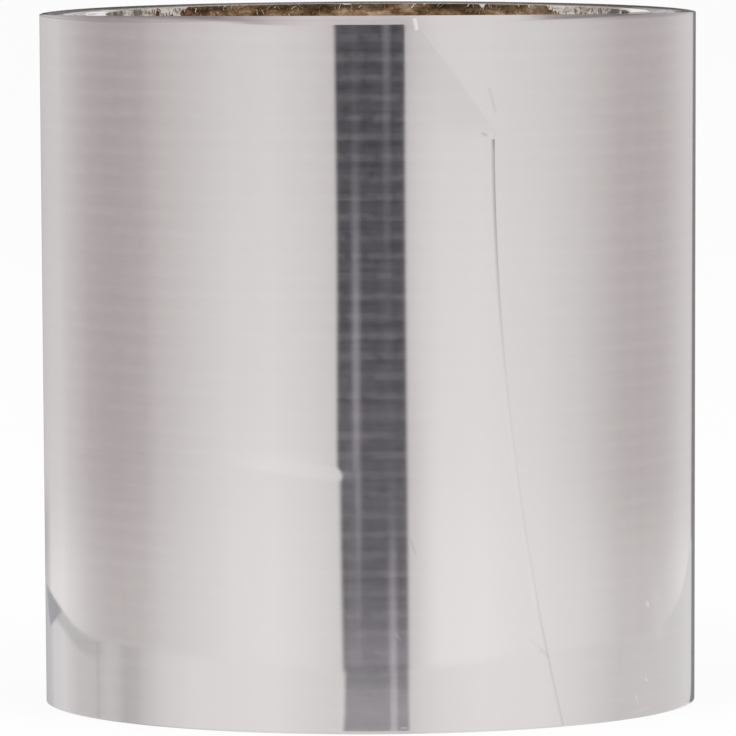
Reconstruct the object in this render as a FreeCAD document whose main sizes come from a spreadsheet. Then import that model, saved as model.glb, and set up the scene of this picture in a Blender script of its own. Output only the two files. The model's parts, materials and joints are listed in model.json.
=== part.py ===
import FreeCAD, Part
import math
import os

from Sketcher import Constraint

# A roll of clear cake collar film on a paperboard core, standing on end.
# +Z runs up the core's axis, the front is -Y, and the origin is at the middle of the bottom end.
# Seen from above the film is wound anticlockwise, and its free end lies on the front.

# Driving sizes in millimetres. The counts of turns are plain numbers.
SIZES = {
    "film_width": 100.0,     # width of the strip, which is the length of the roll
    "film_gauge": 0.15,      # thickness of the film
    "turn_pitch": 0.175,     # one turn of film with the air trapped under it
    "film_turns": 38,
    "core_bore": 76.2,       # diameter of the hole for the dispenser's spindle
    "core_wall": 3.0,
    "front_rise": 1.35,      # how far the turns under the last one ride up at the front
    "foot_rise": 0.3,        # how far the last half turn's foot rides up at the front
    "line_turns": 6,         # times that the line between bundles of turns goes round an end
    "line_width": 0.12,
    "line_depth": 0.35,
    "snip_start": 6.9,       # the snipped corner leaves the top edge this far right of the axis
    "snip_run": 10.9,        # how much the snip takes off the top edge
    "snip_drop": 15.0,       # how much it takes off the cut end
    "tail_lean": 9.5,        # how much further right the cut end is at its foot than at the snip
    "tail_bow": 2.3,         # how far the cut end bows in from a straight line
    "overrun": 2.0,          # how far a cutting shape runs past the film
}

document = FreeCAD.newDocument("cake_collar_roll")
sheet = document.addObject("Spreadsheet::Sheet", "Sizes")
for row, (alias, number) in enumerate(SIZES.items(), start=1):
    sheet.set(f"A{row}", alias)
    sheet.set(f"B{row}", str(number))
    sheet.setAlias(f"B{row}", alias)
document.recompute()

# Formulas that more than one shape is built on.
CORE_OUTSIDE = "(Sizes.core_bore / 2 + Sizes.core_wall)"
ROLL_OUTSIDE = f"({CORE_OUTSIDE} + Sizes.film_turns * Sizes.turn_pitch)"
# The outside of the turns is drawn from two centres, each a quarter of a gauge from the axis:
# the radius grows by half a gauge round the front and by half a gauge round the back.
CENTRE_SHIFT = "(Sizes.film_gauge / 4)"
FRONT_RADIUS = f"({ROLL_OUTSIDE} - Sizes.film_gauge * 3 / 4)"
BEYOND = f"({ROLL_OUTSIDE} + Sizes.overrun)"
ABOVE = "(Sizes.film_width + Sizes.front_rise + Sizes.overrun)"
BELOW = "(0 - Sizes.overrun)"
# Both rises slope up evenly from the middle of the roll, and these are their heights beyond it.
FRONT_RISE_BEYOND = f"(Sizes.front_rise * {BEYOND} / {ROLL_OUTSIDE})"
FOOT_RISE_BEYOND = f"(Sizes.foot_rise * {BEYOND} / {ROLL_OUTSIDE})"
SNIP_END = "(Sizes.snip_start + Sizes.snip_run)"
SNIP_FOOT = "(Sizes.film_width - Sizes.snip_drop)"
TAIL_FOOT = f"({SNIP_END} + Sizes.tail_lean)"
TAIL_RADIUS = f"((Sizes.tail_lean^2 + {SNIP_FOOT}^2) / (8 * Sizes.tail_bow) + Sizes.tail_bow / 2)"

UP = FreeCAD.Vector(0, 0, 1)


def value(formula):
    return float(sheet.evalExpression(formula))


def newBody(name):
    body = document.addObject("PartDesign::Body", name)
    body.Label = name
    return body


def newSketch(body, name, role):
    """A sketch on one of the body's own origin planes."""
    sketch = body.newObject("Sketcher::SketchObject", name)
    plane = next(item for item in body.Origin.OriginFeatures if item.Role == role)
    sketch.AttachmentSupport = (plane, [""])
    sketch.MapMode = "FlatFace"
    return sketch


def bind(sketch, kind, target, formula):
    """Add a constraint whose value follows the sheet."""
    index = sketch.addConstraint(Constraint(kind, *target, value(formula)))
    sketch.setExpression(f"Constraints[{index}]", formula)


def drawCircle(sketch, radius):
    circle = sketch.addGeometry(Part.Circle(FreeCAD.Vector(), UP, value(radius)))
    sketch.addConstraint(Constraint("Coincident", circle, 3, -1, 1))
    bind(sketch, "Radius", (circle,), radius)


def drawHalfTurn(sketch, centre, radius, start):
    """A half circle from the angle start, about a centre on the X axis."""
    circle = Part.Circle(FreeCAD.Vector(value(centre), 0, 0), UP, value(radius))
    arc = sketch.addGeometry(Part.ArcOfCircle(circle, start, start + math.pi))
    sketch.addConstraint(Constraint("PointOnObject", arc, 3, -1))
    sketch.addConstraint(Constraint("PointOnObject", arc, 2, -1))
    bind(sketch, "DistanceX", (-1, 1, arc, 3), centre)
    return arc


def drawSides(sketch, corners, closed=True):
    """Straight sides through corners that are given as pairs of formulas."""
    points = [FreeCAD.Vector(value(across), value(up), 0) for across, up in corners]
    ends = points[1:] + points[:1] if closed else points[1:]
    for start, end in zip(points, ends):
        sketch.addGeometry(Part.LineSegment(start, end))
    for side in range(1, len(ends)):
        sketch.addConstraint(Constraint("Coincident", side - 1, 2, side, 1))
    if closed:
        sketch.addConstraint(Constraint("Coincident", len(ends) - 1, 2, 0, 1))
    for corner, formulas in enumerate(corners):
        held = (corner, 1) if corner < len(ends) else (corner - 1, 2)
        for kind, axis, formula in zip(("DistanceX", "DistanceY"), (-2, -1), formulas):
            if formula == "0":
                sketch.addConstraint(Constraint("PointOnObject", *held, axis))
            else:
                bind(sketch, kind, (-1, 1, *held), formula)


def newPad(body, sketch, length, midplane=False):
    pad = body.newObject("PartDesign::Pad", f"{sketch.Name}_pad")
    pad.Profile = sketch
    if midplane:
        pad.SideType = "Symmetric"
    pad.setExpression("Length", length)
    document.recompute()


def newPocket(body, sketch):
    """Cut right through the body, both ways from the sketch."""
    before = body.Shape.Volume
    pocket = body.newObject("PartDesign::Pocket", f"{sketch.Name}_pocket")
    pocket.Profile = sketch
    pocket.SideType = "Symmetric"
    pocket.Type = "ThroughAll"
    document.recompute()
    assert body.Shape.Volume < before, f"{pocket.Name} cuts nothing"


def endLineBand():
    """The line that winds out between bundles of turns, as a band through the whole roll.

    It starts one pitch out from the core and stops one pitch short of the outside. Each half
    turn is drawn about a centre a quarter of the pitch from the axis, as the outside is.
    """
    pitch = value(f"({ROLL_OUTSIDE} - {CORE_OUTSIDE}) / (Sizes.line_turns + 2)")
    walls = []
    for edge in (-value("Sizes.line_width") / 2, value("Sizes.line_width") / 2):
        wall = []
        for number in range(2 * round(value("Sizes.line_turns"))):
            in_front = number % 2 == 0
            middle = FreeCAD.Vector(pitch / 4 if in_front else -pitch / 4, 0, value(BELOW))
            radius = value(CORE_OUTSIDE) + pitch * (number / 2 + 1.25) + edge
            start = math.pi if in_front else 0.0
            wall.append(Part.ArcOfCircle(Part.Circle(middle, UP, radius), start, start + math.pi).toShape())
        walls.append(wall)
    inner, outer = walls
    closers = [
        Part.LineSegment(inner[0].firstVertex().Point, outer[0].firstVertex().Point).toShape(),
        Part.LineSegment(inner[-1].lastVertex().Point, outer[-1].lastVertex().Point).toShape(),
    ]
    outline = Part.Wire(Part.__sortEdges__(inner + outer + closers))
    return Part.Face(outline).extrude(UP * (value(ABOVE) - value(BELOW)))


# core_tube: the paperboard tube, cut square at both ends.
core = newBody("core_tube")
core_ring = newSketch(core, "core_ring", "XY_Plane")
drawCircle(core_ring, "Sizes.core_bore / 2")
drawCircle(core_ring, CORE_OUTSIDE)
newPad(core, core_ring, "Sizes.film_width")

# All turns but the last half turn, standing proud of it at the top of the front.
turns = newBody("wound_turns")
turns_outline = newSketch(turns, "turns_outline", "XY_Plane")
front = drawHalfTurn(turns_outline, CENTRE_SHIFT, FRONT_RADIUS, math.pi)
back = drawHalfTurn(turns_outline, f"(0 - {CENTRE_SHIFT})", f"({FRONT_RADIUS} + Sizes.film_gauge / 2)", 0.0)
turns_outline.addConstraint(Constraint("PointOnObject", front, 1, -1))
bind(turns_outline, "Radius", (front,), FRONT_RADIUS)
turns_outline.addConstraint(Constraint("Coincident", front, 2, back, 1))
step_ends = (turns_outline.getPoint(back, 2), turns_outline.getPoint(front, 1))
step = turns_outline.addGeometry(Part.LineSegment(*step_ends))
turns_outline.addConstraint(Constraint("Coincident", back, 2, step, 1))
turns_outline.addConstraint(Constraint("Coincident", step, 2, front, 1))
drawCircle(turns_outline, CORE_OUTSIDE)
newPad(turns, turns_outline, "Sizes.film_width + Sizes.front_rise")
top_slope = newSketch(turns, "top_slope", "YZ_Plane")
drawSides(top_slope, [
    ("0", "Sizes.film_width"),
    (BEYOND, "Sizes.film_width"),
    (BEYOND, ABOVE),
    (f"(0 - {BEYOND})", ABOVE),
    (f"(0 - {BEYOND})", f"(Sizes.film_width + {FRONT_RISE_BEYOND})"),
])
newPocket(turns, top_slope)

# The last half turn lies flush at the top. Its free end is cut along a shallow curve, and the
# top corner is snipped off.
tail = newBody("last_half_turn")
tail_shell = newSketch(tail, "tail_shell", "XY_Plane")
for radius in (FRONT_RADIUS, f"({FRONT_RADIUS} + Sizes.film_gauge)"):
    arc = drawHalfTurn(tail_shell, CENTRE_SHIFT, radius, math.pi)
    tail_shell.addConstraint(Constraint("PointOnObject", arc, 1, -1))
    bind(tail_shell, "Radius", (arc,), radius)
for point in (1, 2):
    start, end = (tail_shell.getPoint(arc, point) for arc in (0, 1))
    side = tail_shell.addGeometry(Part.LineSegment(start, end))
    tail_shell.addConstraint(Constraint("Coincident", 0, point, side, 1))
    tail_shell.addConstraint(Constraint("Coincident", 1, point, side, 2))
newPad(tail, tail_shell, "Sizes.film_width")
tail_cut = newSketch(tail, "tail_cut", "XZ_Plane")
drawSides(tail_cut, [
    (TAIL_FOOT, "0"),
    (TAIL_FOOT, BELOW),
    (BEYOND, BELOW),
    (BEYOND, ABOVE),
    ("Sizes.snip_start", ABOVE),
    ("Sizes.snip_start", "Sizes.film_width"),
    (SNIP_END, SNIP_FOOT),
], closed=False)
snip, foot = (FreeCAD.Vector(value(x), value(z), 0) for x, z in ((SNIP_END, SNIP_FOOT), (TAIL_FOOT, "0")))
inward = (foot - snip).cross(UP).normalize() * value("Sizes.tail_bow")
bow = tail_cut.addGeometry(Part.Arc(snip, (snip + foot) / 2 + inward, foot))
tail_cut.addConstraint(Constraint("Coincident", bow - 1, 2, bow, 1))
tail_cut.addConstraint(Constraint("Coincident", bow, 2, 0, 1))
bind(tail_cut, "Radius", (bow,), TAIL_RADIUS)
newPocket(tail, tail_cut)
foot_slope = newSketch(tail, "foot_slope", "YZ_Plane")
drawSides(foot_slope, [
    ("0", "0"),
    (f"(0 - {BEYOND})", FOOT_RISE_BEYOND),
    (f"(0 - {BEYOND})", BELOW),
    ("0", BELOW),
])
newPocket(tail, foot_slope)

# film_winding: every turn in one solid, with the line that winds between its bundles of turns
# cut a little way into each end.
line_band = document.addObject("Part::Feature", "line_band")
line_band.Shape = endLineBand()
between_lines = newBody("between_lines")
line_floors = newSketch(between_lines, "line_floors", "YZ_Plane")
drawSides(line_floors, [
    (BEYOND, "Sizes.line_depth"),
    (BEYOND, "(Sizes.film_width - Sizes.line_depth)"),
    ("0", "(Sizes.film_width - Sizes.line_depth)"),
    (f"(0 - {BEYOND})", f"(Sizes.film_width - Sizes.line_depth + {FRONT_RISE_BEYOND})"),
    (f"(0 - {BEYOND})", "Sizes.line_depth"),
])
newPad(between_lines, line_floors, f"2 * {BEYOND}", midplane=True)
end_lines = document.addObject("Part::Cut", "end_lines")
end_lines.Base = line_band
end_lines.Tool = between_lines
all_turns = document.addObject("Part::Fuse", "all_turns")
all_turns.Base = turns
all_turns.Tool = tail
all_turns.Refine = True
winding = document.addObject("Part::Cut", "film_winding")
winding.Base = all_turns
winding.Tool = end_lines
document.recompute()

for item in document.Objects:
    assert "Invalid" not in item.State and "Error" not in item.State, f"{item.Name}: {item.State}"
os.makedirs("parts", exist_ok=True)
for part in (core, winding):
    assert not part.Shape.isNull() and part.Shape.isValid(), f"{part.Label} is not a valid shape"
    assert len(part.Shape.Solids) == 1, f"{part.Label} is not one solid"
for part in (core, winding):
    part.Shape.exportStep(f"parts/{part.Label}.step")
    print(f"{part.Label}: {part.Shape.Volume / 1000:.2f} cubic centimetres")
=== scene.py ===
import json
import math

import bpy
import numpy as np
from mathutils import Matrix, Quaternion, Vector


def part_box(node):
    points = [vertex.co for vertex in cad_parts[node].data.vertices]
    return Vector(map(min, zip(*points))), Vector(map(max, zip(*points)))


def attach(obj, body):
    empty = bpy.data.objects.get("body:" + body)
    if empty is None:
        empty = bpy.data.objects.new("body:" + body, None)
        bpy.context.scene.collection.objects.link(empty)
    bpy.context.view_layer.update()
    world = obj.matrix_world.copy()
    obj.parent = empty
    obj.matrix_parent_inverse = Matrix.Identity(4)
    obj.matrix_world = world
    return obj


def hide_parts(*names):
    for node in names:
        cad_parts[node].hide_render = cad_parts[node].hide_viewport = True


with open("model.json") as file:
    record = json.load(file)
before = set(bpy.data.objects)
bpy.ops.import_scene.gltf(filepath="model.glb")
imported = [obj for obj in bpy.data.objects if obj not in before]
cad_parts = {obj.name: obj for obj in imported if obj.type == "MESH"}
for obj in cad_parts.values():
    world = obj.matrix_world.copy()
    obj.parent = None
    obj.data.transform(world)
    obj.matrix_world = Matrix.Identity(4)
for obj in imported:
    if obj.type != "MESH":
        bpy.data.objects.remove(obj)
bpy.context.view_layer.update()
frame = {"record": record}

# A roll of clear cake collar film on its paperboard core, standing on end.
# Everything is in metres: +Z runs up the core's axis and the front is -Y.
# Places round the roll are angles from the front in degrees, positive towards +X.

filmLow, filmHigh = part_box("film_winding")
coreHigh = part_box("core_tube")[1]
rollWidth = coreHigh[2]             # the film is as wide as the core is long
coreRadius = coreHigh[0]
rollRadius = -filmLow[0]
frontRise = filmHigh[2] - rollWidth
coreBore = frame["record"]["mounts"][0]["dims"]["r_mm"] / 1000

scene = bpy.context.scene
scene.view_settings.view_transform = "Standard"


# Helpers

def addNode(tree, kind, inputs=None, **settings):
    made = tree.nodes.new(kind)
    for name, setting in settings.items():
        setattr(made, name, setting)
    for key, source in (inputs or {}).items():
        if isinstance(source, bpy.types.NodeSocket):
            tree.links.new(source, made.inputs[key])
        else:
            made.inputs[key].default_value = source
    return made


def addMath(tree, operation, *values):
    return addNode(tree, "ShaderNodeMath", dict(enumerate(values)), operation=operation).outputs[0]


def addProduct(tree, *values):
    product = values[0]
    for value in values[1:]:
        product = addMath(tree, "MULTIPLY", product, value)
    return product


def addDimming(tree, level, amount, strength):
    # the level, less that share of it where the amount is 1
    return addMath(tree, "MULTIPLY", level, addMath(tree, "MULTIPLY_ADD", amount, -strength, 1.0))


def addAway(tree, value, middle):
    return addMath(tree, "ABSOLUTE", addMath(tree, "SUBTRACT", value, middle))


def addSplit(tree, vector):
    return addNode(tree, "ShaderNodeSeparateXYZ", {0: vector}).outputs


def addVector(tree, x=0.0, y=0.0, z=0.0):
    return addNode(tree, "ShaderNodeCombineXYZ", {0: x, 1: y, 2: z}).outputs[0]


def addFlatLength(tree, x, y):
    return addMath(tree, "SQRT", addMath(tree, "ADD", addMath(tree, "MULTIPLY", x, x), addMath(tree, "MULTIPLY", y, y)))


def addAngle(tree, at):
    # radians round from the front
    return addMath(tree, "ARCTAN2", at["X"], addMath(tree, "MULTIPLY", at["Y"], -1.0))


def addBump(tree, height, strength):
    return addNode(tree, "ShaderNodeBump", {"Height": height, "Strength": strength, "Distance": 0.0002}).outputs[0]


def addObjectPlace(tree):
    return addNode(tree, "ShaderNodeTexCoord").outputs["Object"]


def addAttribute(tree, name, output="Fac"):
    return addNode(tree, "ShaderNodeAttribute", attribute_name=name).outputs[output]


def addCurve(tree, value, pairs):
    # a value that follows pairs of (input, grey level or colour), with straight runs between them
    low, high = pairs[0][0], pairs[-1][0]
    share = addNode(tree, "ShaderNodeMapRange", {"Value": value, "From Min": low, "From Max": high}).outputs[0]
    ramp = addNode(tree, "ShaderNodeValToRGB", {0: share})
    elements = ramp.color_ramp.elements
    while len(elements) < len(pairs):
        elements.new(0.5)
    for element, (place, level) in zip(elements, pairs):
        element.position = (place - low) / (high - low)
        element.color = (*level, 1) if isinstance(level, tuple) else (level, level, level, 1)
    return ramp.outputs[0]


def addDegrees(tree, value):
    return addMath(tree, "MULTIPLY", value, 180 / math.pi)


def addLinear(tree, value, pairs):
    # as addCurve, for levels of any size
    levels = [level for _, level in pairs]
    low, high = min(levels), max(levels)
    share = addCurve(tree, value, [(place, (level - low) / (high - low)) for place, level in pairs])
    return addMath(tree, "MULTIPLY_ADD", share, high - low, low)


def addMix(tree, factor, first, second, blend="MIX"):
    mix = addNode(tree, "ShaderNodeMix", data_type="RGBA", blend_type=blend)
    colours = [socket for socket in mix.inputs if socket.type == "RGBA"]
    for socket, source in zip([mix.inputs[0]] + colours, (factor, first, second)):
        if isinstance(source, bpy.types.NodeSocket):
            tree.links.new(source, socket)
        else:
            socket.default_value = source
    return next(socket for socket in mix.outputs if socket.type == "RGBA")


def addStep(tree, value, low, high):
    # 0 below low and 1 above high, smooth between; low may be the larger
    return addNode(tree, "ShaderNodeMapRange", {"Value": value, "From Min": low, "From Max": high},
                   interpolation_type="SMOOTHSTEP").outputs[0]


def addBetween(tree, value, low, lowFull, highFull, high):
    # 1 from lowFull to highFull, and 0 beyond low and high
    return addProduct(tree, addStep(tree, value, low, lowFull), addStep(tree, value, high, highFull))


def addNoise(tree, place, scale, detail=2.0, roughness=0.5):
    mapped = addNode(tree, "ShaderNodeMapping", {0: place, "Scale": scale}).outputs[0]
    return addNode(tree, "ShaderNodeTexNoise", {
        "Vector": mapped, "Scale": 1.0, "Detail": detail, "Roughness": roughness}).outputs[0]


def newMaterial(name):
    material = bpy.data.materials.new(name)
    material.use_nodes = True
    material.node_tree.nodes.clear()
    return material, material.node_tree


def addShader(material, kind, inputs):
    # the material's own shader, joined to its output
    shader = addNode(material.node_tree, kind, inputs)
    addNode(material.node_tree, "ShaderNodeOutputMaterial", {0: shader.outputs[0]})
    return material


def newPiece(name, mesh):
    piece = bpy.data.objects.new(name, mesh)
    scene.collection.objects.link(piece)
    return piece


def newMesh(name, points, faces):
    mesh = bpy.data.meshes.new(name)
    mesh.from_pydata([tuple(point) for point in points], [], faces)
    mesh.polygons.foreach_set("use_smooth", [True] * len(mesh.polygons))
    return mesh


def newWalledMesh(name, points, walls, ends, wallFinish, endFinish):
    # smooth walls and flat ends; the walls come last, and shade the corners that both share
    mesh = newMesh(name, points, ends + walls)
    mesh.polygons.foreach_set("use_smooth", [False] * len(ends) + [True] * len(walls))
    mesh.polygons.foreach_set("material_index", [1] * len(ends) + [0] * len(walls))
    mesh.materials.append(wallFinish)
    mesh.materials.append(endFinish)
    return mesh


def onCircle(angle, radius, height):
    return (radius * math.sin(math.radians(angle)), -radius * math.cos(math.radians(angle)), height)


def easeBetween(low, high, x):
    t = np.clip((x - low) / (high - low), 0, 1)
    return t * t * (3 - 2 * t)


# Camera

shot = {"place": (-0.0002, -1.354, 0.14947), "pitchDown": 4.2736, "roll": 0.24, "lens": 456.0}

lensData = bpy.data.cameras.new("shotCamera")
lensData.lens = shot["lens"]
lensData.clip_end = 20
camera = newPiece("shotCamera", lensData)
pitch = math.radians(shot["pitchDown"])
aim = Vector((0, math.cos(pitch), -math.sin(pitch))).to_track_quat("-Z", "Y")
camera.rotation_mode = "QUATERNION"
camera.rotation_quaternion = aim @ Quaternion((0, 0, 1), -math.radians(shot["roll"]))
camera.location = shot["place"]
scene.camera = camera
print("camera set")


# Film: finishes

filmLook = {
    "silver": (0.722, 0.690, 0.684, 1),
    "metallic": 0.93,
    "haze": 0.05,               # how much the metallic share varies with bands and streaks
    "roughness": 0.06,
    "bandsPerMillimetre": 0.75,
    "rungs": 2.8,               # millimetres between the faint level bands
    "rungHaze": 0.04,           # and how hazy they are
    # strength of the painted shade line along the cut, by height in millimetres
    "cutShadeLine": [(0, 0.24), (12, 0.22), (35, 0.20), (48, 0.22), (54, 0.27), (61, 0.35), (68, 0.48),
                (74, 0.62), (82, 0.60), (84, 0.95)],
    "cutWidth": 0.7,
    "cutShadeColour": (0.25, 0.24, 0.25, 1),
    "snipLine": (-0.75, 81.9),  # millimetres along the film for one of height, and at the foot
    "snipTone": 0.055,          # how much darker the last turn is beside the snip
    "snipCornerGlint": (7.9, 100.8, 8.2, 99.5, 0.50, 1),     # a painted glint where the snip starts, given as the marks below
    "rimShade": 0.20,            # how much painted shade darkens the rim at the sides
    "rimHeight": (99.85, 100.35),
    "rimSides": (0.028, 0.040),     # across from the axis
}
edgeLook = {
    "dark": (0.13, 0.125, 0.13, 1),
    "pale": (0.96, 0.96, 0.97, 1),
    "metallic": 0.35,
    "roughness": 0.30,
    "paleTurns": (28.0, 20.0),  # counted from the core, where the edges turn pale
    "edgeGlintSides": (0.0375, 0.0405),      # across from the axis, where the painted highlight on them is strongest
    "waveSides": (0.036, 0.039),
    "wave": 36.0,               # turns that the border between dark and pale wanders
}

# fine marks in the film: angle along it and height in millimetres at both ends, width, brightness
filmMarks = [
    (28.6, 12.7, 30.6, 11.2, 0.45, 0.965),      # a crease that meets the cut
    (30.6, 11.2, 33.4, 9.3, 0.45, 0.93),
    (28.0, 27.5, 29.4, 18.0, 0.70, 1.03),
    (19.7, 84.6, 20.3, 84.4, 0.35, 0.80),       # a nick beside the cut
    (-339.0, 90.8, -337.9, 87.7, 0.40, 0.91),
    (-306.8, 3.6, -305.9, 1.9, 0.30, 1.08),     # scratches on the turn under it
    (-307.4, 0.9, -302.6, 1.2, 0.30, 1.06),
    (-303.2, 16.3, -302.7, 16.0, 0.50, 1.25),
    (-303.5, 5.4, -303.1, 5.2, 0.35, 1.22),
    (-299.9, 17.0, -298.9, 12.5, 3.2, 1.05),
    (5.2, 0.9, 6.0, 0.9, 0.25, 1.4),
    (7.0, 27.4, 7.7, 25.6, 0.35, 0.90),
    (4.4, 14.2, 5.1, 13.3, 0.35, 1.2),
]


innerTurnMark = 60.0            # added to an inner turn's number, for its third film place


def addMark(tree, across, height, mark):
    # 1 along a short line on the film, fading to 0 across its width
    angleA, heightA, angleB, heightB, width, _ = mark
    start = (math.radians(angleA) * rollRadius * 1000, heightA)
    run = (math.radians(angleB) * rollRadius * 1000 - start[0], heightB - heightA)
    x, y = addMath(tree, "SUBTRACT", across, start[0]), addMath(tree, "SUBTRACT", height, start[1])
    length = math.hypot(*run)
    along = addMath(tree, "MULTIPLY_ADD", x, run[0] / length ** 2, addMath(tree, "MULTIPLY", y, run[1] / length ** 2))
    along = addNode(tree, "ShaderNodeClamp", {0: along}).outputs[0]
    x = addMath(tree, "MULTIPLY_ADD", along, -run[0], x)
    y = addMath(tree, "MULTIPLY_ADD", along, -run[1], y)
    return addStep(tree, addFlatLength(tree, x, y), width, 0.0)


def filmWallFinish():
    # filmPlace holds millimetres: along the film, up it, and from its cut end
    material, tree = newMaterial("filmWall")
    place = addAttribute(tree, "filmPlace", "Vector")
    across, height, toCut = addSplit(tree, place)
    bands = addNoise(tree, place, (0.05, filmLook["bandsPerMillimetre"], 0), 3.0, 0.65)
    streaks = addNoise(tree, place, (0.55, 0.012, 0), 3.0, 0.55)
    mottle = addNoise(tree, place, (0.5, 0.5, 0), 2.0, 0.6)
    patchy = addMath(tree, "MULTIPLY_ADD", bands, 2.0, addMath(tree, "ADD", streaks, mottle))
    haze = addMath(tree, "MULTIPLY_ADD", patchy, 1.3, -2.6)
    rungAt = addMath(tree, "MULTIPLY_ADD", bands, 0.8, height)
    rung = addMath(tree, "SINE", addMath(tree, "MULTIPLY", rungAt, 2 * math.pi / filmLook["rungs"]))
    rung = addProduct(tree, addStep(tree, rung, -0.2, 1.0), addStep(tree, mottle, 0.2, 0.6))
    metallic = addMath(tree, "MULTIPLY_ADD", haze, -filmLook["haze"], filmLook["metallic"])
    metallic = addMath(tree, "MULTIPLY_ADD", rung, -filmLook["rungHaze"], metallic)
    tone = 1.0
    for mark in filmMarks:
        tone = addDimming(tree, tone, addMark(tree, across, height, mark), 1 - mark[5])
    # the snip slopes from one corner of the free end to the other
    toSnip = addMath(tree, "SUBTRACT", addMath(tree, "MULTIPLY_ADD", height, *filmLook["snipLine"]), across)
    besideSnip = addProduct(tree, addBetween(tree, toSnip, -0.2, 0.1, 2, 14), addStep(tree, height, 83, 87))
    tone = addDimming(tree, tone, besideSnip, filmLook["snipTone"])
    # painted shade darkens the rim at the sides
    sideways = addMath(tree, "ABSOLUTE", addSplit(tree, addObjectPlace(tree))["X"])
    paintedRimShade = addProduct(tree, addStep(tree, height, *filmLook["rimHeight"]),
                         addStep(tree, sideways, *filmLook["rimSides"]))
    tone = addDimming(tree, tone, paintedRimShade, filmLook["rimShade"])
    silver = addMix(tree, 1.0, filmLook["silver"], tone, "MULTIPLY")
    # painted shade: a dark line along the cut edge of the free end
    cutShadeLine = addProduct(tree, addStep(tree, toCut, filmLook["cutWidth"], 0.0),
                         addLinear(tree, height, filmLook["cutShadeLine"]))
    silver = addMix(tree, cutShadeLine, silver, filmLook["cutShadeColour"])
    # painted highlight: a white glint at the snipped corner
    cornerGlint = addMark(tree, across, height, filmLook["snipCornerGlint"])
    silver = addMix(tree, addMath(tree, "MULTIPLY", cornerGlint, 0.8), silver, (1, 1, 1, 1))
    return addShader(material, "ShaderNodeBsdfPrincipled", {
        "Base Color": silver, "Metallic": metallic, "Roughness": filmLook["roughness"]})


def filmEdgeFinish():
    # the outer turns' edges are dark and the inner ones' pale; at the sides the pale is a painted highlight
    material, tree = newMaterial("filmEdge")
    place = addAttribute(tree, "filmPlace", "Vector")
    turn = addMath(tree, "SUBTRACT", addSplit(tree, place)["Z"], innerTurnMark)
    at = addObjectPlace(tree)
    sideways = addMath(tree, "ABSOLUTE", addSplit(tree, at)["X"])
    # the border between them wanders at the sides
    wave = addMath(tree, "SUBTRACT", addNoise(tree, at, (300, 60, 0), 2.0, 0.5), 0.5)
    wave = addProduct(tree, wave, addStep(tree, sideways, *edgeLook["waveSides"]))
    border = addMath(tree, "MULTIPLY_ADD", wave, edgeLook["wave"], turn)
    inner = addProduct(tree, addStep(tree, border, *edgeLook["paleTurns"]), addStep(tree, turn, -2.0, 0.0))
    # painted highlight: the inner turns' edges are much paler at the sides
    sideGlint = addStep(tree, sideways, *edgeLook["edgeGlintSides"])
    share = addProduct(tree, inner, addMath(tree, "MULTIPLY_ADD", sideGlint, 0.75, 0.15))
    ripple = addNoise(tree, place, (0.004, 0, 0.9), 4.0, 0.7)
    share = addMath(tree, "ADD", share, addMath(tree, "MULTIPLY_ADD", ripple, 1.5, -0.72))
    share = addNode(tree, "ShaderNodeClamp", {0: share}).outputs[0]
    return addShader(material, "ShaderNodeBsdfPrincipled", {
        "Base Color": addMix(tree, share, edgeLook["dark"], edgeLook["pale"]),
        "Metallic": edgeLook["metallic"], "Roughness": edgeLook["roughness"]})


filmWall = filmWallFinish()
filmEdge = filmEdgeFinish()


# Film: the last turn and a half, with the free end

wound = {
    "turns": 38,
    "gauge": 0.00015,
    "lastPitch": 0.000165,      # from one turn to the next in the outer turns
    "outside": rollRadius - 0.00006,
    "footSqueeze": 0.057,       # the winding is this much tighter at its foot
    "lean": math.tan(math.radians(12)),     # of the film that stands proud at the front
    "footRise": 0.0003,         # of the last half turn's foot
    "footLean": 0.0011,         # height below which the turns under it lean in at the foot
    "leanReach": 0.0012,        # height over which the lean grows at the sides
    # share of the front rise that the last turn has, by angle
    "lastRim": ((-50, -25, 0, 8), (0, 0.48, 0.48, 0.72)),
}
freeEnd = {
    "snipTop": 0.00693,         # across from the axis, where the snip leaves the top edge
    "snipFoot": 0.01775,
    "snipHeight": 0.085,
    "foot": 0.0276,             # across from the axis, where the cut reaches the foot
    "bow": 0.00245,
    "lift": 0.00006,            # how far the cut lip stands off the turn below
    "liftReach": 0.0007,
}


def cutAngle(height):
    # where the free end is cut
    if height >= freeEnd["snipHeight"]:
        share = (height - freeEnd["snipHeight"]) / (rollWidth - freeEnd["snipHeight"])
        across = freeEnd["snipFoot"] + (freeEnd["snipTop"] - freeEnd["snipFoot"]) * share
    else:
        share = height / freeEnd["snipHeight"]
        across = freeEnd["foot"] + (freeEnd["snipFoot"] - freeEnd["foot"]) * share
        across -= freeEnd["bow"] * 4 * share * (1 - share)
    return math.degrees(math.asin(across / rollRadius))


def unevenness(angle, height):
    # slow waves left by the winding tension, and a shallow fold left of the front that ends part way up
    turn = np.radians(angle)
    slow = 5 * np.sin(5 * turn + 0.9 + 9 * height) + 3 * np.sin(11 * turn + 2.1 - 23 * height)
    fold = 34 * easeBetween(-32, -7, angle) * (1 - easeBetween(-7, -1.2, angle))
    return (slow - fold * (1 - easeBetween(0.0352, 0.0374, height + 0.0001 * angle))) * 1e-6     # from micrometres


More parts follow.
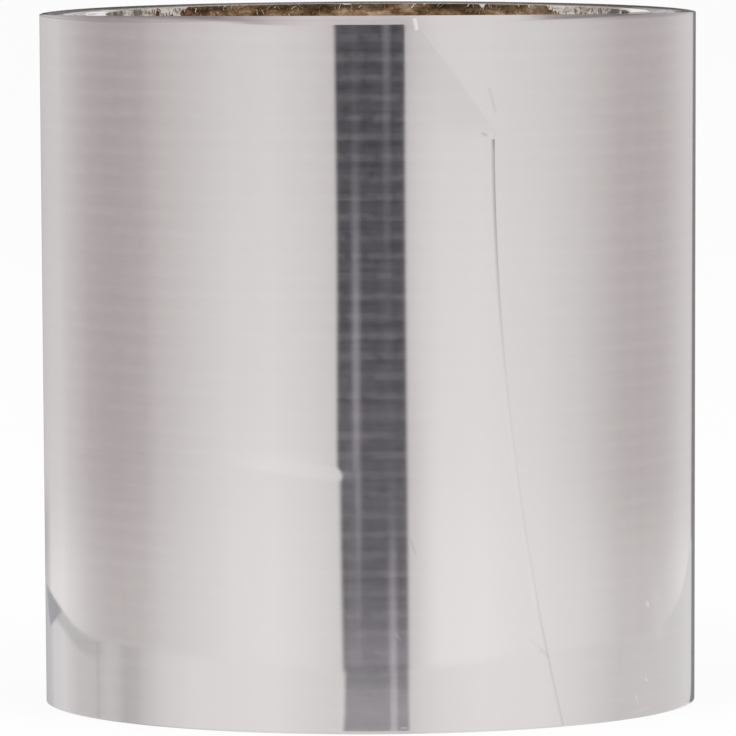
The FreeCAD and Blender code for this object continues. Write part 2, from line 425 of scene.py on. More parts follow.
def filmPoint(turnAngle, height, depth, lift, under):
    # a point of the outer turns: depth 0 is the outer face and 1 the inner one
    angle = (turnAngle + 180) % 360 - 180
    radius = wound["outside"] + wound["lastPitch"] * (turnAngle + 90) / 360 + unevenness(angle, height) + lift
    radius = coreRadius + (radius - coreRadius) * (1 - wound["footSqueeze"] * (1 - min(height / rollWidth, 1)))
    proud = max(height - rollWidth, 0)
    sharp = easeBetween(-28, -12, angle) * (1 - easeBetween(18, 30, angle))     # the lean starts at once in front
    grown = sharp + (1 - sharp) * min(proud / wound["leanReach"] / 2, 1)
    radius -= depth * wound["gauge"] + wound["lean"] * proud * grown
    if under:
        radius -= max(wound["footLean"] - height, 0) * wound["lean"] * max(math.cos(math.radians(angle)), 0)
    return onCircle(turnAngle, radius, height)


def outerTurnsMesh():
    # a grid of columns along the film and rows up it, for both faces
    closeRows = [0.0002, 0.004, 0.0112, 0.017, 0.9997, freeEnd["snipHeight"] / rollWidth]
    rimRows, foldRows = np.linspace(0.984, 0.998, 8), np.linspace(0.345, 0.38, 15)
    rows = np.unique(np.concatenate([np.linspace(0, 1, 44), closeRows, rimRows, foldRows]))
    underTurn = np.arange(-450, -90, 1.5)
    straightPart = np.arange(-90, 7.0, 1.0)     # columns that run straight up
    cutPart = np.linspace(0, 1, 40)[1:]         # columns that close up towards the cut
    underMark, snipMark = 50, 40        # millimetres from the cut for what shows no cut line
    points, places = [], []

    def addPoint(turnAngle, height, depth, lift, under, toCut):
        points.append(filmPoint(turnAngle, height, depth, lift, under))
        places.append((math.radians(turnAngle) * rollRadius * 1000, height * 1000, toCut))

    for depth in (0, 1):
        for share in rows:
            level, atRim = rollWidth * share, easeBetween(0.9, 1, share)
            for turnAngle in underTurn:
                front = max(math.cos(math.radians(turnAngle)), 0)
                addPoint(turnAngle, level + frontRise * front * atRim, depth, 0, True, underMark)
            cut = cutAngle(level)
            angles = list(straightPart) + [cut - (cut - straightPart[-1]) * (1 - t) ** 2.2 for t in cutPart]
            straight = 1 - easeBetween(-0.0005, 0.0005, level - freeEnd["snipHeight"])      # below the snip
            for turnAngle in angles:
                front = max(math.cos(math.radians(turnAngle)), 0)
                rim = frontRise * front * np.interp(turnAngle, *wound["lastRim"])
                height = level + rim * atRim + wound["footRise"] * front * (1 - share)
                toCut = math.radians(cut - turnAngle) * rollRadius
                lift = straight * freeEnd["lift"] * max(1 - toCut / freeEnd["liftReach"], 0) ** 2
                addPoint(turnAngle, height, depth, lift, False, toCut * 1000 + snipMark * (1 - straight))
    across = len(underTurn) + len(straightPart) + len(cutPart)
    up = len(rows)
    layer = across * up
    walls, ends = [], []
    for row in range(up - 1):
        for column in range(across - 1):
            a = row * across + column
            walls.append((a, a + 1, a + 1 + across, a + across))
            walls.append((layer + a, layer + a + across, layer + a + 1 + across, layer + a + 1))

    def bridge(a, b):
        # a face across the film's thickness
        ends.append((a, b, layer + b, layer + a))

    for column in range(across - 1):
        last = (up - 1) * across + column
        bridge(column + 1, column)
        bridge(last, last + 1)
    for row in range(up - 1):
        first, last = row * across, (row + 1) * across - 1
        bridge(first, first + across)
        bridge(last + across, last)
    mesh = newWalledMesh("outerTurns", points, walls, ends, filmWall, filmEdge)
    mesh.attributes.new("filmPlace", "FLOAT_VECTOR", "POINT").data.foreach_set(
        "vector", np.array(places, np.float32).ravel())
    return mesh


outerTurns = newPiece("outerTurns", outerTurnsMesh())
print("outer turns:", len(outerTurns.data.polygons), "faces")


# Film: the inner turns, a spiral swept with the film's section

def addInputs(tree, sizes):
    # named inputs; a material's has None for its value
    kinds = {int: "NodeSocketInt", float: "NodeSocketFloat", type(None): "NodeSocketMaterial"}
    for name, number in sizes.items():
        tree.interface.new_socket(name, in_out="INPUT", socket_type=kinds[type(number)])
    tree.interface.new_socket("Geometry", in_out="OUTPUT", socket_type="NodeSocketGeometry")
    return addNode(tree, "NodeGroupInput").outputs


def applyTree(piece, tree, values):
    # run the tree on the piece, and keep the result as its plain mesh
    modifier = piece.modifiers.new(tree.name, "NODES")
    modifier.node_group = tree
    for item in tree.interface.items_tree:
        if item.in_out == "INPUT":
            modifier[item.identifier] = values[item.name]
    bpy.context.view_layer.update()
    made = bpy.data.meshes.new_from_object(piece.evaluated_get(bpy.context.evaluated_depsgraph_get()))
    piece.modifiers.clear()
    piece.data = made
    print(piece.name + ":", len(made.polygons), "faces")


innerWound = {
    "Turns": wound["turns"] - 1.5,
    "Points per turn": 120,
    "First radius": coreRadius + wound["gauge"] / 2,
    "Last radius": wound["outside"] - wound["lastPitch"] - wound["gauge"] / 2,
    "Gauge": wound["gauge"],
    "Film width": rollWidth,
    "Front rise": frontRise,
    "Lean": wound["lean"],
    "Unevenness": 0.00035,          # how far a turn may stand back from either end
    "Foot squeeze": wound["footSqueeze"],
    "Core radius": coreRadius,
    "Roll radius": rollRadius,
    "Wall finish": filmWall,
    "Edge finish": filmEdge,
}


def innerTurnsTree():
    tree = bpy.data.node_groups.new("innerTurns", "GeometryNodeTree")
    given = addInputs(tree, {name: None if "finish" in name else value for name, value in innerWound.items()})

    def calc(operation, *values):
        return addMath(tree, operation, *values)

    spiral = addNode(tree, "GeometryNodeCurveSpiral", {
        "Resolution": given["Points per turn"], "Rotations": given["Turns"],
        "Start Radius": given["First radius"], "End Radius": given["Last radius"], "Height": 0.0})
    along = addNode(tree, "GeometryNodeSplineParameter").outputs["Factor"]
    counted = addNode(tree, "GeometryNodeCaptureAttribute", {"Geometry": spiral.outputs[0]})
    counted.capture_items.new("FLOAT", "Turn")
    tree.links.new(calc("MULTIPLY", along, given["Turns"]), counted.inputs[1])
    turn = counted.outputs[1]

    # the section is as thick as the film and as tall as it is wide, and bends only near its top
    halfWidth = calc("MULTIPLY", given["Film width"], 0.5)
    section = addNode(tree, "GeometryNodeCurvePrimitiveQuadrilateral",
                      {"Width": given["Gauge"], "Height": given["Film width"]})
    halved = addNode(tree, "GeometryNodeSubdivideCurve", {"Curve": section.outputs[0], "Cuts": 1})
    position = addNode(tree, "GeometryNodeInputPosition").outputs[0]
    atMiddle = addNode(tree, "FunctionNodeCompare", {0: calc("ABSOLUTE", addSplit(tree, position)["Y"]), 1: 0.01},
                       operation="LESS_THAN", data_type="FLOAT").outputs[0]
    bendAt = addVector(tree, y=calc("MULTIPLY", halfWidth, 0.98))
    bent = addNode(tree, "GeometryNodeSetPosition",
                   {"Geometry": halved.outputs[0], "Selection": atMiddle, "Offset": bendAt})
    swept = addNode(tree, "GeometryNodeCurveToMesh", {
        "Curve": counted.outputs["Geometry"], "Profile Curve": bent.outputs[0], "Fill Caps": True})

    # each turn's ends wander, ride up at the front and lean in there
    at = addSplit(tree, position)
    radius = addFlatLength(tree, at["X"], at["Y"])
    height = calc("ADD", at["Z"], halfWidth)
    share = calc("DIVIDE", height, given["Film width"])
    front = calc("MAXIMUM", calc("DIVIDE", calc("MULTIPLY", at["Y"], -1.0), given["Roll radius"]), 0.0)
    wander = addNode(tree, "ShaderNodeTexNoise", {"W": calc("MULTIPLY", turn, 1.37), "Scale": 1.0, "Detail": 2.0},
                     noise_dimensions="1D").outputs[0]
    standBack = calc("MULTIPLY", given["Unevenness"], wander)
    toOutside = calc("POWER", 0.4, calc("SUBTRACT", given["Turns"], turn))
    outerStep = calc("MULTIPLY_ADD", toOutside, -0.12, 1.0)
    rise = addProduct(tree, given["Front rise"], front, outerStep)
    atTop, atFoot = addStep(tree, share, 0.985, 1.0), addStep(tree, share, 0.1, 0.0)
    topMove = calc("MULTIPLY", atTop, calc("SUBTRACT", rise, standBack))
    newHeight = calc("ADD", height, calc("ADD", topMove, calc("MULTIPLY", atFoot, standBack)))
    leanIn = calc("MULTIPLY", calc("MAXIMUM", calc("SUBTRACT", newHeight, given["Film width"]), 0.0), given["Lean"])
    squeeze = addProduct(tree, calc("SUBTRACT", radius, given["Core radius"]), given["Foot squeeze"],
                         calc("SUBTRACT", 1.0, calc("MINIMUM", share, 1.0)))
    scale = calc("DIVIDE", calc("SUBTRACT", calc("SUBTRACT", radius, leanIn), squeeze), radius)
    newPlace = addVector(tree, calc("MULTIPLY", at["X"], scale), calc("MULTIPLY", at["Y"], scale), newHeight)
    shaped = addNode(tree, "GeometryNodeSetPosition", {"Geometry": swept.outputs[0], "Position": newPlace})

    filmPlace = addVector(tree, calc("MULTIPLY", turn, 300.0), calc("MULTIPLY", newHeight, 1000.0),
                          calc("ADD", turn, innerTurnMark))
    stored = addNode(tree, "GeometryNodeStoreNamedAttribute", {
        "Geometry": shaped.outputs[0], "Name": "filmPlace", "Value": filmPlace},
        data_type="FLOAT_VECTOR", domain="POINT")
    facing = addSplit(tree, addNode(tree, "GeometryNodeInputNormal").outputs[0])
    isEdge = addNode(tree, "FunctionNodeCompare", {0: calc("ABSOLUTE", facing["Z"]), 1: 0.7},
                     operation="GREATER_THAN", data_type="FLOAT").outputs[0]
    isWall = addNode(tree, "FunctionNodeBooleanMath", {0: isEdge}, operation="NOT").outputs[0]
    shaded = addNode(tree, "GeometryNodeSetShadeSmooth", {"Geometry": stored.outputs[0], "Shade Smooth": isWall})
    realized = addNode(tree, "GeometryNodeRealizeInstances", {0: shaded.outputs[0]})
    walls = addNode(tree, "GeometryNodeSetMaterial", {"Geometry": realized.outputs[0], "Material": given["Wall finish"]})
    edges = addNode(tree, "GeometryNodeSetMaterial", {
        "Geometry": walls.outputs[0], "Selection": isEdge, "Material": given["Edge finish"]})
    addNode(tree, "NodeGroupOutput", {0: edges.outputs[0]})
    return tree


innerTurns = newPiece("innerTurns", bpy.data.meshes.new("innerTurns"))
applyTree(innerTurns, innerTurnsTree(), innerWound)


# Core

board = {
    # colours of the lining and of the torn paper, by noise level
    "kraft": [(0.30, (0.05, 0.025, 0.009)), (0.42, (0.16, 0.09, 0.04)), (0.52, (0.34, 0.21, 0.115)),
              (0.60, (0.50, 0.34, 0.21)), (0.70, (0.80, 0.64, 0.46))],
    "torn": [(0.35, (0.50, 0.46, 0.39)), (0.55, (0.95, 0.93, 0.87))],
    "pulp": [(0.3, (0.16, 0.13, 0.10)), (0.5, (0.36, 0.31, 0.25)), (0.7, (0.62, 0.57, 0.50))],
    "endHighlight": (0.92, 0.915, 0.91, 1),        # painted highlight on the cut end at the sides
    "glue": (0.30, 0.23, 0.16, 1),          # between the plies
    "seam": (0.05, 0.03, 0.015, 1),
    "lipShade": (0.02, 0.009, 0.003, 1),
    "endShade": (0.20, 0.20, 0.19, 1),      # of the lining right at the sides
    "tornDepth": -0.3,          # millimetres below the end, on average
    "sidePaleDepth": 9,              # further down at the sides
    # millimetres from the middle where the pale patches reach further down, the painted shade starts and the painted
    # highlight on the end starts
    "sidePaleSpan": (26.0, 29.0),
    "shadeSides": (32.8, 34.4),
    "endHighlightSides": (36.2, 38.8),
    "spiral": 88.0,             # millimetres up the bore for one turn of the lining
    "plies": 6,
}


def coreMesh():
    around = 240
    nearEnd = (0.00002, 0.0006)
    heights = [0, *nearEnd, *(rollWidth * np.linspace(0.02, 0.98, 30)), *(rollWidth - np.flip(nearEnd))]
    outline = [(coreBore, height) for height in heights]
    outline += [(radius, rollWidth) for radius in np.linspace(coreBore, coreRadius, board["plies"] + 1)]
    outline += [(coreRadius, rollWidth * share) for share in (0.7, 0.3)]
    outline += [(radius, 0.0) for radius in np.linspace(coreRadius, coreBore, board["plies"] + 1)[:-1]]
    points = [onCircle(360 * step / around, radius, height) for step in range(around) for radius, height in outline]
    count = len(outline)
    ends, walls = [], []
    for step in range(around):
        near, far = step * count, (step + 1) % around * count
        for i in range(count):
            j = (i + 1) % count
            flat = outline[i][1] == outline[j][1]
            (ends if flat else walls).append((near + i, near + j, far + j, far + i))
    return newWalledMesh("coreTube", points, walls, ends, kraftWallFinish(), kraftEndFinish())


def roundCoordinates(tree, place):
    # millimetres along the bore, up it, out from the axis, and sideways from it
    at = addSplit(tree, place)
    lengths = at["Z"], addFlatLength(tree, at["X"], at["Y"]), addMath(tree, "ABSOLUTE", at["X"])
    return [addMath(tree, "MULTIPLY", addAngle(tree, at), coreBore * 1000),
            *(addMath(tree, "MULTIPLY", length, 1000.0) for length in lengths)]


def kraftWallFinish():
    material, tree = newMaterial("kraftWall")
    place = addObjectPlace(tree)
    arc, height, _, sideways = roundCoordinates(tree, place)
    mottle = addNoise(tree, place, (420, 420, 1000), 5.0, 0.75)
    patches = addNoise(tree, place, (120, 120, 160), 2.0, 0.5)
    level = addMath(tree, "MULTIPLY_ADD", patches, 0.5, addMath(tree, "SUBTRACT", mottle, 0.25))
    colour = addCurve(tree, level, board["kraft"])
    # the seam of the spiral lining
    spiral = addMath(tree, "ADD", addMath(tree, "DIVIDE", arc, 2 * math.pi * coreBore * 1000),
                     addMath(tree, "DIVIDE", height, board["spiral"]))
    seam = addAway(tree, addMath(tree, "FRACT", spiral), 0.5)
    colour = addMix(tree, addMath(tree, "MULTIPLY", addStep(tree, seam, 0.006, 0.0), 0.6), colour, board["seam"])
    fromEnd = addMath(tree, "MINIMUM", height, addMath(tree, "SUBTRACT", rollWidth * 1000, height))
    ragged = addNoise(tree, place, (380, 380, 240), 3.0, 0.65)
    # the lip throws patches of shade on the wall just below it
    shade = addProduct(tree, addStep(tree, fromEnd, 1.3, 0.5),
                       addStep(tree, addNoise(tree, place, (90, 90, 20), 2.0, 0.5), 0.42, 0.56), 0.7)
    colour = addMix(tree, shade, colour, board["lipShade"])
    # torn paper shows at the ends, and the pale patches reach further down at the sides
    tornDepth = addMath(tree, "MULTIPLY_ADD", ragged, 4.0, board["tornDepth"] - 2.0)
    sideDepth = addProduct(tree, addStep(tree, sideways, *board["sidePaleSpan"]), ragged, board["sidePaleDepth"] * 0.35)
    below = addMath(tree, "SUBTRACT", addMath(tree, "ADD", tornDepth, sideDepth), fromEnd)
    tornPaper = addCurve(tree, addNoise(tree, place, (300, 300, 1100), 3.0, 0.6), board["torn"])
    colour = addMix(tree, addStep(tree, below, -0.08, 0.08), colour, tornPaper)
    inShade = addProduct(tree, addStep(tree, sideways, *board["shadeSides"]), addStep(tree, ragged, 0.62, 0.50),
                         addStep(tree, addMath(tree, "SUBTRACT", fromEnd, ragged), 2.6, 0.9))
    colour = addMix(tree, inShade, colour, board["endShade"])
    return addShader(material, "ShaderNodeBsdfPrincipled", {
        "Base Color": colour, "Roughness": 0.85, "Normal": addBump(tree, mottle, 0.5)})


def kraftEndFinish():
    material, tree = newMaterial("kraftEnd")
    place = addObjectPlace(tree)
    _, _, radius, sideways = roundCoordinates(tree, place)
    plyPlace = addMath(tree, "MULTIPLY", addMath(tree, "SUBTRACT", radius, coreBore * 1000),
                       board["plies"] / ((coreRadius - coreBore) * 1000))
    seam = addAway(tree, addMath(tree, "FRACT", plyPlace), 0.5)
    fibre = addNoise(tree, place, (700, 700, 700), 4.0, 0.7)
    pulp = addCurve(tree, fibre, board["pulp"])
    # painted highlight: the cut end is pale at the sides
    endSideHighlight = addProduct(tree, addStep(tree, sideways, *board["endHighlightSides"]),
                         addStep(tree, addNoise(tree, place, (260, 160, 260), 3.0, 0.6), 0.40, 0.50), 0.8)
    pulp = addMix(tree, endSideHighlight, pulp, board["endHighlight"])
    colour = addMix(tree, addMath(tree, "MULTIPLY", addStep(tree, seam, 0.40, 0.5), 0.55), pulp, board["glue"])
    return addShader(material, "ShaderNodeBsdfPrincipled", {
        "Base Color": colour, "Roughness": 0.9, "Normal": addBump(tree, fibre, 0.6)})


coreTube = newPiece("coreTube", coreMesh())
print("core tube:", len(coreTube.data.polygons), "faces")


# Core: torn fibres that hang in its bore at both ends

fibres = {
    "Count": 1000,
    "Seed": 5,
    "Bore": coreBore,
    "Core length": rollWidth,
    "Depth": 0.0026,            # how far from an end they start
    "Length": 0.0008,
    "Width": 0.0001,
    "Thickness": 0.00005,
    "Stand-off": 0.00022,       # of the free tip from the wall
    "Share at the top": 0.7,
    "Fibre finish": None,
}


def fibresTree():
    tree = bpy.data.node_groups.new("coreFibres", "GeometryNodeTree")
    given = addInputs(tree, fibres)

    def draw(low, high, seed):
        number = addNode(tree, "FunctionNodeRandomValue", data_type="FLOAT")
        for socket in number.inputs:
            if socket.name == "Min" and socket.type == "VALUE":
                socket.default_value = low
            if socket.name == "Max" and socket.type == "VALUE":
                socket.default_value = high
            if socket.name == "Seed":
                tree.links.new(addMath(tree, "ADD", given["Seed"], float(seed)), socket)
        return next(socket for socket in number.outputs if socket.type == "VALUE")

    # a flat strip that hangs from the origin and curls away from the wall
    hang = addMath(tree, "MULTIPLY", given["Length"], -1.0)
    tip = addVector(tree, y=addMath(tree, "MULTIPLY", given["Stand-off"], -1.0), z=hang)
    belly = addVector(tree, z=addMath(tree, "MULTIPLY", hang, 0.6))
    line = addNode(tree, "GeometryNodeCurveQuadraticBezier", {
        "Resolution": 4, "Start": (0, 0, 0), "Middle": belly, "End": tip})
    strip = addNode(tree, "GeometryNodeCurvePrimitiveQuadrilateral", {
        "Width": given["Width"], "Height": given["Thickness"]})
    fibre = addNode(tree, "GeometryNodeCurveToMesh", {
        "Curve": line.outputs[0], "Profile Curve": strip.outputs[0], "Fill Caps": True})

    angle = draw(-math.pi, math.pi, 0)
    depth = addMath(tree, "MULTIPLY", addMath(tree, "POWER", draw(0.0, 1.0, 1), 2.0), given["Depth"])
    atFoot = addMath(tree, "GREATER_THAN", draw(0.0, 1.0, 2), given["Share at the top"])
    top = addMath(tree, "SUBTRACT", given["Core length"], depth)
    foot = addMath(tree, "ADD", addMath(tree, "ADD", depth, given["Length"]), 0.0002)
    height = addNode(tree, "ShaderNodeMix", {0: atFoot, 2: top, 3: foot}, data_type="FLOAT").outputs[0]
    radius = addMath(tree, "SUBTRACT", given["Bore"], 0.00005)
    place = addVector(tree, addProduct(tree, addMath(tree, "SINE", angle), radius, -1.0),
                      addProduct(tree, addMath(tree, "COSINE", angle), radius), height)
    points = addNode(tree, "GeometryNodePoints", {"Count": given["Count"], "Position": place})
    lean = draw(-1.1, 1.1, 3)
    size = draw(0.35, 1.15, 4)
    placed = addNode(tree, "GeometryNodeInstanceOnPoints", {
        "Points": points.outputs[0], "Instance": fibre.outputs[0], "Rotation": addVector(tree, y=lean, z=angle),
        "Scale": addVector(tree, draw(0.4, 1.4, 5), size, size)})
    shade = addNode(tree, "GeometryNodeStoreNamedAttribute", {
        "Geometry": placed.outputs[0], "Name": "fibreShade", "Value": draw(0.0, 1.0, 6)},
        data_type="FLOAT", domain="INSTANCE")
    realized = addNode(tree, "GeometryNodeRealizeInstances", {0: shade.outputs[0]})
    finished = addNode(tree, "GeometryNodeSetMaterial", {
        "Geometry": realized.outputs[0], "Material": given["Fibre finish"]})
    addNode(tree, "NodeGroupOutput", {0: finished.outputs[0]})
    return tree


def fibreFinish():
    material, tree = newMaterial("tornFibre")
    colour = addCurve(tree, addAttribute(tree, "fibreShade"), [
        (0, (0.14, 0.08, 0.04)), (0.5, (0.30, 0.20, 0.12)), (0.8, (0.60, 0.48, 0.34)), (1, (0.90, 0.86, 0.76))])
    return addShader(material, "ShaderNodeBsdfPrincipled", {"Base Color": colour, "Roughness": 0.9})


coreFibres = newPiece("coreFibres", bpy.data.meshes.new("coreFibres"))
applyTree(coreFibres, fibresTree(), {**fibres, "Fibre finish": fibreFinish()})


# Stage

tentLight = {
    "radius": 4.0,
    # degrees from the front, and brightness of the cloth there
    "cloth": [(-180, 0.50), (-174, 0.48), (-168, 0.62), (-163, 0.65), (-152, 0.725), (-140, 0.77), (-126, 0.665),
              (-115, 0.56), (-106, 0.51), (-98, 0.505), (-87, 0.55), (-78, 0.665), (-65, 0.77), (-49, 0.88),
              (-34, 0.915), (-20, 0.84), (-12, 0.77), (12, 0.73), (18, 0.86), (25, 0.935), (39, 0.955), (62, 0.88),
              (79, 0.78), (99, 0.60), (111, 0.575), (124, 0.60), (143, 0.725), (152, 0.74), (161, 0.71),
              (163.5, 0.23), (180, 0.23)],
    # degrees that the dark part at the back comes forward on the right, by degrees above the horizon
    "edgeShift": [(-6.4, 2.8), (-5.0, 2.3), (-3.0, 1.3), (-1.0, 0.0)],
    # what the cloth's brightness is multiplied by at each rise, all round and at the sides
    "clothRise": [(-6.4, 1.11), (-5.4, 1.10), (-4.8, 1.05), (-3.8, 1.01), (-3.0, 1.0), (-2.0, 0.955),
                  (-0.8, 0.93), (2, 0.93)],
    "sideRise": [(-6.4, 1.16), (-5.4, 1.14), (-4.7, 1.0), (-3.0, 1.0), (-0.8, 1.06), (2, 1.0)],
    "dimCloth": (1.02, 0.945, 0.955, 1),    # tint of the dimmer parts
    # darker panels: degrees round between which each comes and goes, rise where it fades in, how dark it is;
    # the first two hang high at the sides, the third low at the back and the last low beside the gap
    "panels": [((-165, -125, -60, -15), (3, 16), 0.66), ((50, 76, 110, 130), (3.5, 9), 0.62),
               ((-190, -181, -163, -153), (-4.4, -5.0), 0.22), ((10.5, 12.5, 16, 23), (-3.6, -4.8), 0.09)],
    # the gap between the tent's front curtains: its sides and brightness by rise
    "gapLeft": [(-6.4, -10.6), (-5.4, -11.3), (-4.5, -11.5), (-3.0, -11.1), (-0.8, -11.7)],
    "gapRight": [(-6.4, 13.4), (-4.0, 12.7), (-3.0, 12.45), (-0.8, 12.25)],
    "gapGlow": [(-8.0, 0.90), (-7.0, 0.90), (-6.7, 0.36), (-6.2, 0.20), (-5.95, 0.12), (-5.7, 0.08), (-5.1, 0.09),
                (-4.4, 0.08), (-3.8, 0.055), (-2.1, 0.030), (-1.3, 0.034), (-0.8, 0.05)],
    "gapSoft": 0.9,
    "gapEnds": (-8.2, -7.4, 15.0, 16.0),
    "gapTint": (1.0, 0.97, 1.06, 1),
    "gapHaze": (0, 0, 0.012, 1),
    # three pale edges of cloth seen in the gap: place, and brightness, by rise
    "folds": [([(-6.4, -4.8), (-3.0, -4.7), (-1.0, -5.0)],
               [(-6.2, 0.03), (-5.4, 0.10), (-4.8, 0.17), (-4.1, 0.26), (-3.0, 0.20), (-2.2, 0.04), (-1.3, 0.02),
                (-0.8, 0.04)]),
              ([(-6.4, -7.7), (-4.4, -7.4)],
               [(-6.4, 0.04), (-5.9, 0.05), (-5.0, 0.04), (-4.55, 0.06), (-4.35, 0.0)]),
              ([(-6.4, 7.9), (-5.2, 7.6), (-3.8, 6.5), (-0.8, 6.0)],
               [(-6.2, 0.26), (-5.9, 0.26), (-5.5, 0.17), (-5.2, 0.02), (-4.6, 0.0), (-3.0, 0.05), (-2.1, 0.07),
                (-0.8, 0.17)])],
    "foldWidth": 2.4,
}


def glowOnly(material, colour):
    # light of its own colour, met only where the film mirrors it
    material.cycles.emission_sampling = "NONE"
    return addShader(material, "ShaderNodeEmission", {"Color": colour, "Strength": 1.0})


def showInFilmOnly(piece):
    piece.visible_camera = piece.visible_diffuse = piece.visible_shadow = False


def tentFinish():
    material, tree = newMaterial("tentCloth")
    at = addSplit(tree, addObjectPlace(tree))
    angle = addDegrees(tree, addAngle(tree, at))
    rise = addDegrees(tree, addMath(tree, "ARCSINE", addMath(tree, "DIVIDE", at["Z"], tentLight["radius"])))

    def byRise(name):
        return addLinear(tree, rise, tentLight[name])

    forward = addProduct(tree, addStep(tree, angle, 146, 157), byRise("edgeShift"))
    level = addLinear(tree, addMath(tree, "ADD", angle, forward), tentLight["cloth"])
    atSide = addStep(tree, addMath(tree, "ABSOLUTE", angle), 50, 110)
    sideRise = addMath(tree, "MULTIPLY_ADD", addMath(tree, "SUBTRACT", byRise("sideRise"), 1.0), atSide, 1.0)
    level = addProduct(tree, level, sideRise, byRise("clothRise"))
    for sides, rises, darkness in tentLight["panels"]:
        isPanel = addProduct(tree, addBetween(tree, angle, *sides), addStep(tree, rise, *rises))
        level = addDimming(tree, level, isPanel, darkness)
    tint = addMix(tree, addStep(tree, level, 0.85, 0.5), (1, 1, 1, 1), tentLight["dimCloth"])
    cloth = addMix(tree, 1.0, level, tint, "MULTIPLY")
    soft = tentLight["gapSoft"]
    inGap = addProduct(tree, addStep(tree, addMath(tree, "SUBTRACT", angle, byRise("gapLeft")), -soft, soft),
                       addStep(tree, addMath(tree, "SUBTRACT", byRise("gapRight"), angle), -soft, soft),
                       addBetween(tree, rise, *tentLight["gapEnds"]))
    dark = byRise("gapGlow")
    for places, levels in tentLight["folds"]:
        atFold = addStep(tree, addAway(tree, angle, addLinear(tree, rise, places)), tentLight["foldWidth"], 0.0)
        dark = addMath(tree, "MULTIPLY_ADD", atFold, addLinear(tree, rise, levels), dark)
    gap = addMix(tree, 1.0, dark, tentLight["gapTint"], "MULTIPLY")
    gap = addMix(tree, 1.0, gap, tentLight["gapHaze"], "ADD")
    return glowOnly(material, addMix(tree, inGap, cloth, gap))


def tentMesh(across=96, up=48):
    radius = tentLight["radius"]
    points = [(0, 0, -radius)]
    for row in range(1, up):
        tilt = math.pi * row / up - math.pi / 2
        points += [onCircle(360 * column / across, radius * math.cos(tilt), radius * math.sin(tilt))
                   for column in range(across)]
    points.append((0, 0, radius))
    faces = []
    last = 1 + (up - 2) * across
    for column in range(across):
        after = (column + 1) % across
        faces.append((0, 1 + column, 1 + after))
        faces.append((len(points) - 1, last + after, last + column))
        for row in range(up - 2):
            a = 1 + row * across
            faces.append((a + column, a + across + column, a + across + after, a + after))
    return newMesh("lightTent", points, faces)


tent = newPiece("lightTent", tentMesh())
tent.data.materials.append(tentFinish())
showInFilmOnly(tent)

paintedFloorReflection = {
    # a glowing sheet just under the floor, seen only in the film: a painted reflection of the floor round the roll,
    # with painted shadows of the roll on it
    "left": -0.137, "right": 0.141, "front": -0.125, "back": 0.30, "corner": 0.12,
    "leftBack": 0.19,           # it ends nearer behind the left side
    "reach": 0.4,               # from the roll, at most
    "below": 0.0001,            # how far it lies under the floor
    "ring": 0.0042,             # of floor right at the foot, which stays light in front
    # degrees that light seen from the front leaves the film at, and brightness of the painted floor reflection there;
    # its dips are painted shadows of the roll
    "glow": [(-172, 0.5), (-158, 0.63), (-152, 0.77), (-147, 0.79), (-140, 0.84), (-131, 0.75), (-126, 0.70),
             (-116, 0.68), (-113.5, 0.67), (-112.5, 0.53), (-111.5, 0.66), (-106, 0.71), (-101, 0.66),
             (-97, 0.575), (-91, 0.60), (-87, 0.70), (-78, 0.84), (-65, 0.94), (-34, 0.98), (-14, 0.86),
             (14, 0.80), (18, 0.87), (25, 0.94), (39, 1.0), (62, 0.98), (79, 0.89), (99, 0.74), (124, 0.76),
             (152, 0.80), (160.5, 0.75), (163, 0.25)],
    "sideTint": (1.0, 0.994, 1.008, 1),
    # the part in line with the tent's gap: its sides, and brightness by distance from the roll
    "gapSides": (-10.8, -8.8, 12.4, 14.2),
    "gapGlow": [(0, 0.42), (0.002, 0.39), (0.01, 0.36), (0.036, 0.37), (0.080, 0.24)],
    "gapTint": (1, 0.985, 1.05, 1),
    "foldAt": 8.0,              # where the tent's fold is in line with it
    "foldGlow": 0.20,           # and what that adds
    # how dark the painted shade on its last strip behind the left side is, and between which directions
    "farSides": (-160, -150, -114, -103),
    "farShade": [(-150, 0.30), (-130, 0.17), (-110, 0.08)],
    "cornerShade": (0.42, 0.42, 0.45, 1),   # painted shadow behind the left side
}


def paintedFloorReflectionMesh():
    # each column runs out from the roll's foot the way that light seen from the front leaves the film
    points, levels, edges = [], [], []
    angles = np.arange(-89.5, 90, 0.5)
    shares = (0.25, 0.5, 0.75, 1)
    for angle in angles:
        start = np.array(onCircle(angle, rollRadius, 0)[:2])
        heading = np.array(onCircle(2 * angle, 1, 0)[:2])
        reachOut = min(sheetEdge(start, heading), paintedFloorReflection["reach"])
        for along in (0, paintedFloorReflection["ring"], *(np.array(shares) * reachOut)):
            points.append((*(start + heading * along), -paintedFloorReflection["below"]))
            levels.append(2 * angle)
            edges.append(reachOut - along)
    rows = len(shares) + 2
    faces = [(c * rows + r, (c + 1) * rows + r, (c + 1) * rows + r + 1, c * rows + r + 1)
             for c in range(len(angles) - 1) for r in range(rows - 1)]
    mesh = newMesh("paintedFloorReflection", points, faces)
    mesh.attributes.new("leaving", "FLOAT", "POINT").data.foreach_set("value", levels)
    mesh.attributes.new("toEdge", "FLOAT", "POINT").data.foreach_set("value", edges)
    return mesh


def sheetEdge(start, heading):
    # how far it is from start to the edge of the sheet, which has rounded corners
    low = np.array([paintedFloorReflection["left"], paintedFloorReflection["front"]])
    high = np.array([paintedFloorReflection["right"], paintedFloorReflection["leftBack"] if heading[0] < 0 else paintedFloorReflection["back"]])
    middle, half = (low + high) / 2, (high - low) / 2
    for along in np.arange(0.01, 0.5, 0.001):
        over = np.abs(start + heading * along - middle) - (half - paintedFloorReflection["corner"])
        if np.linalg.norm(np.maximum(over, 0)) > paintedFloorReflection["corner"]:
            return along
    return 0.5


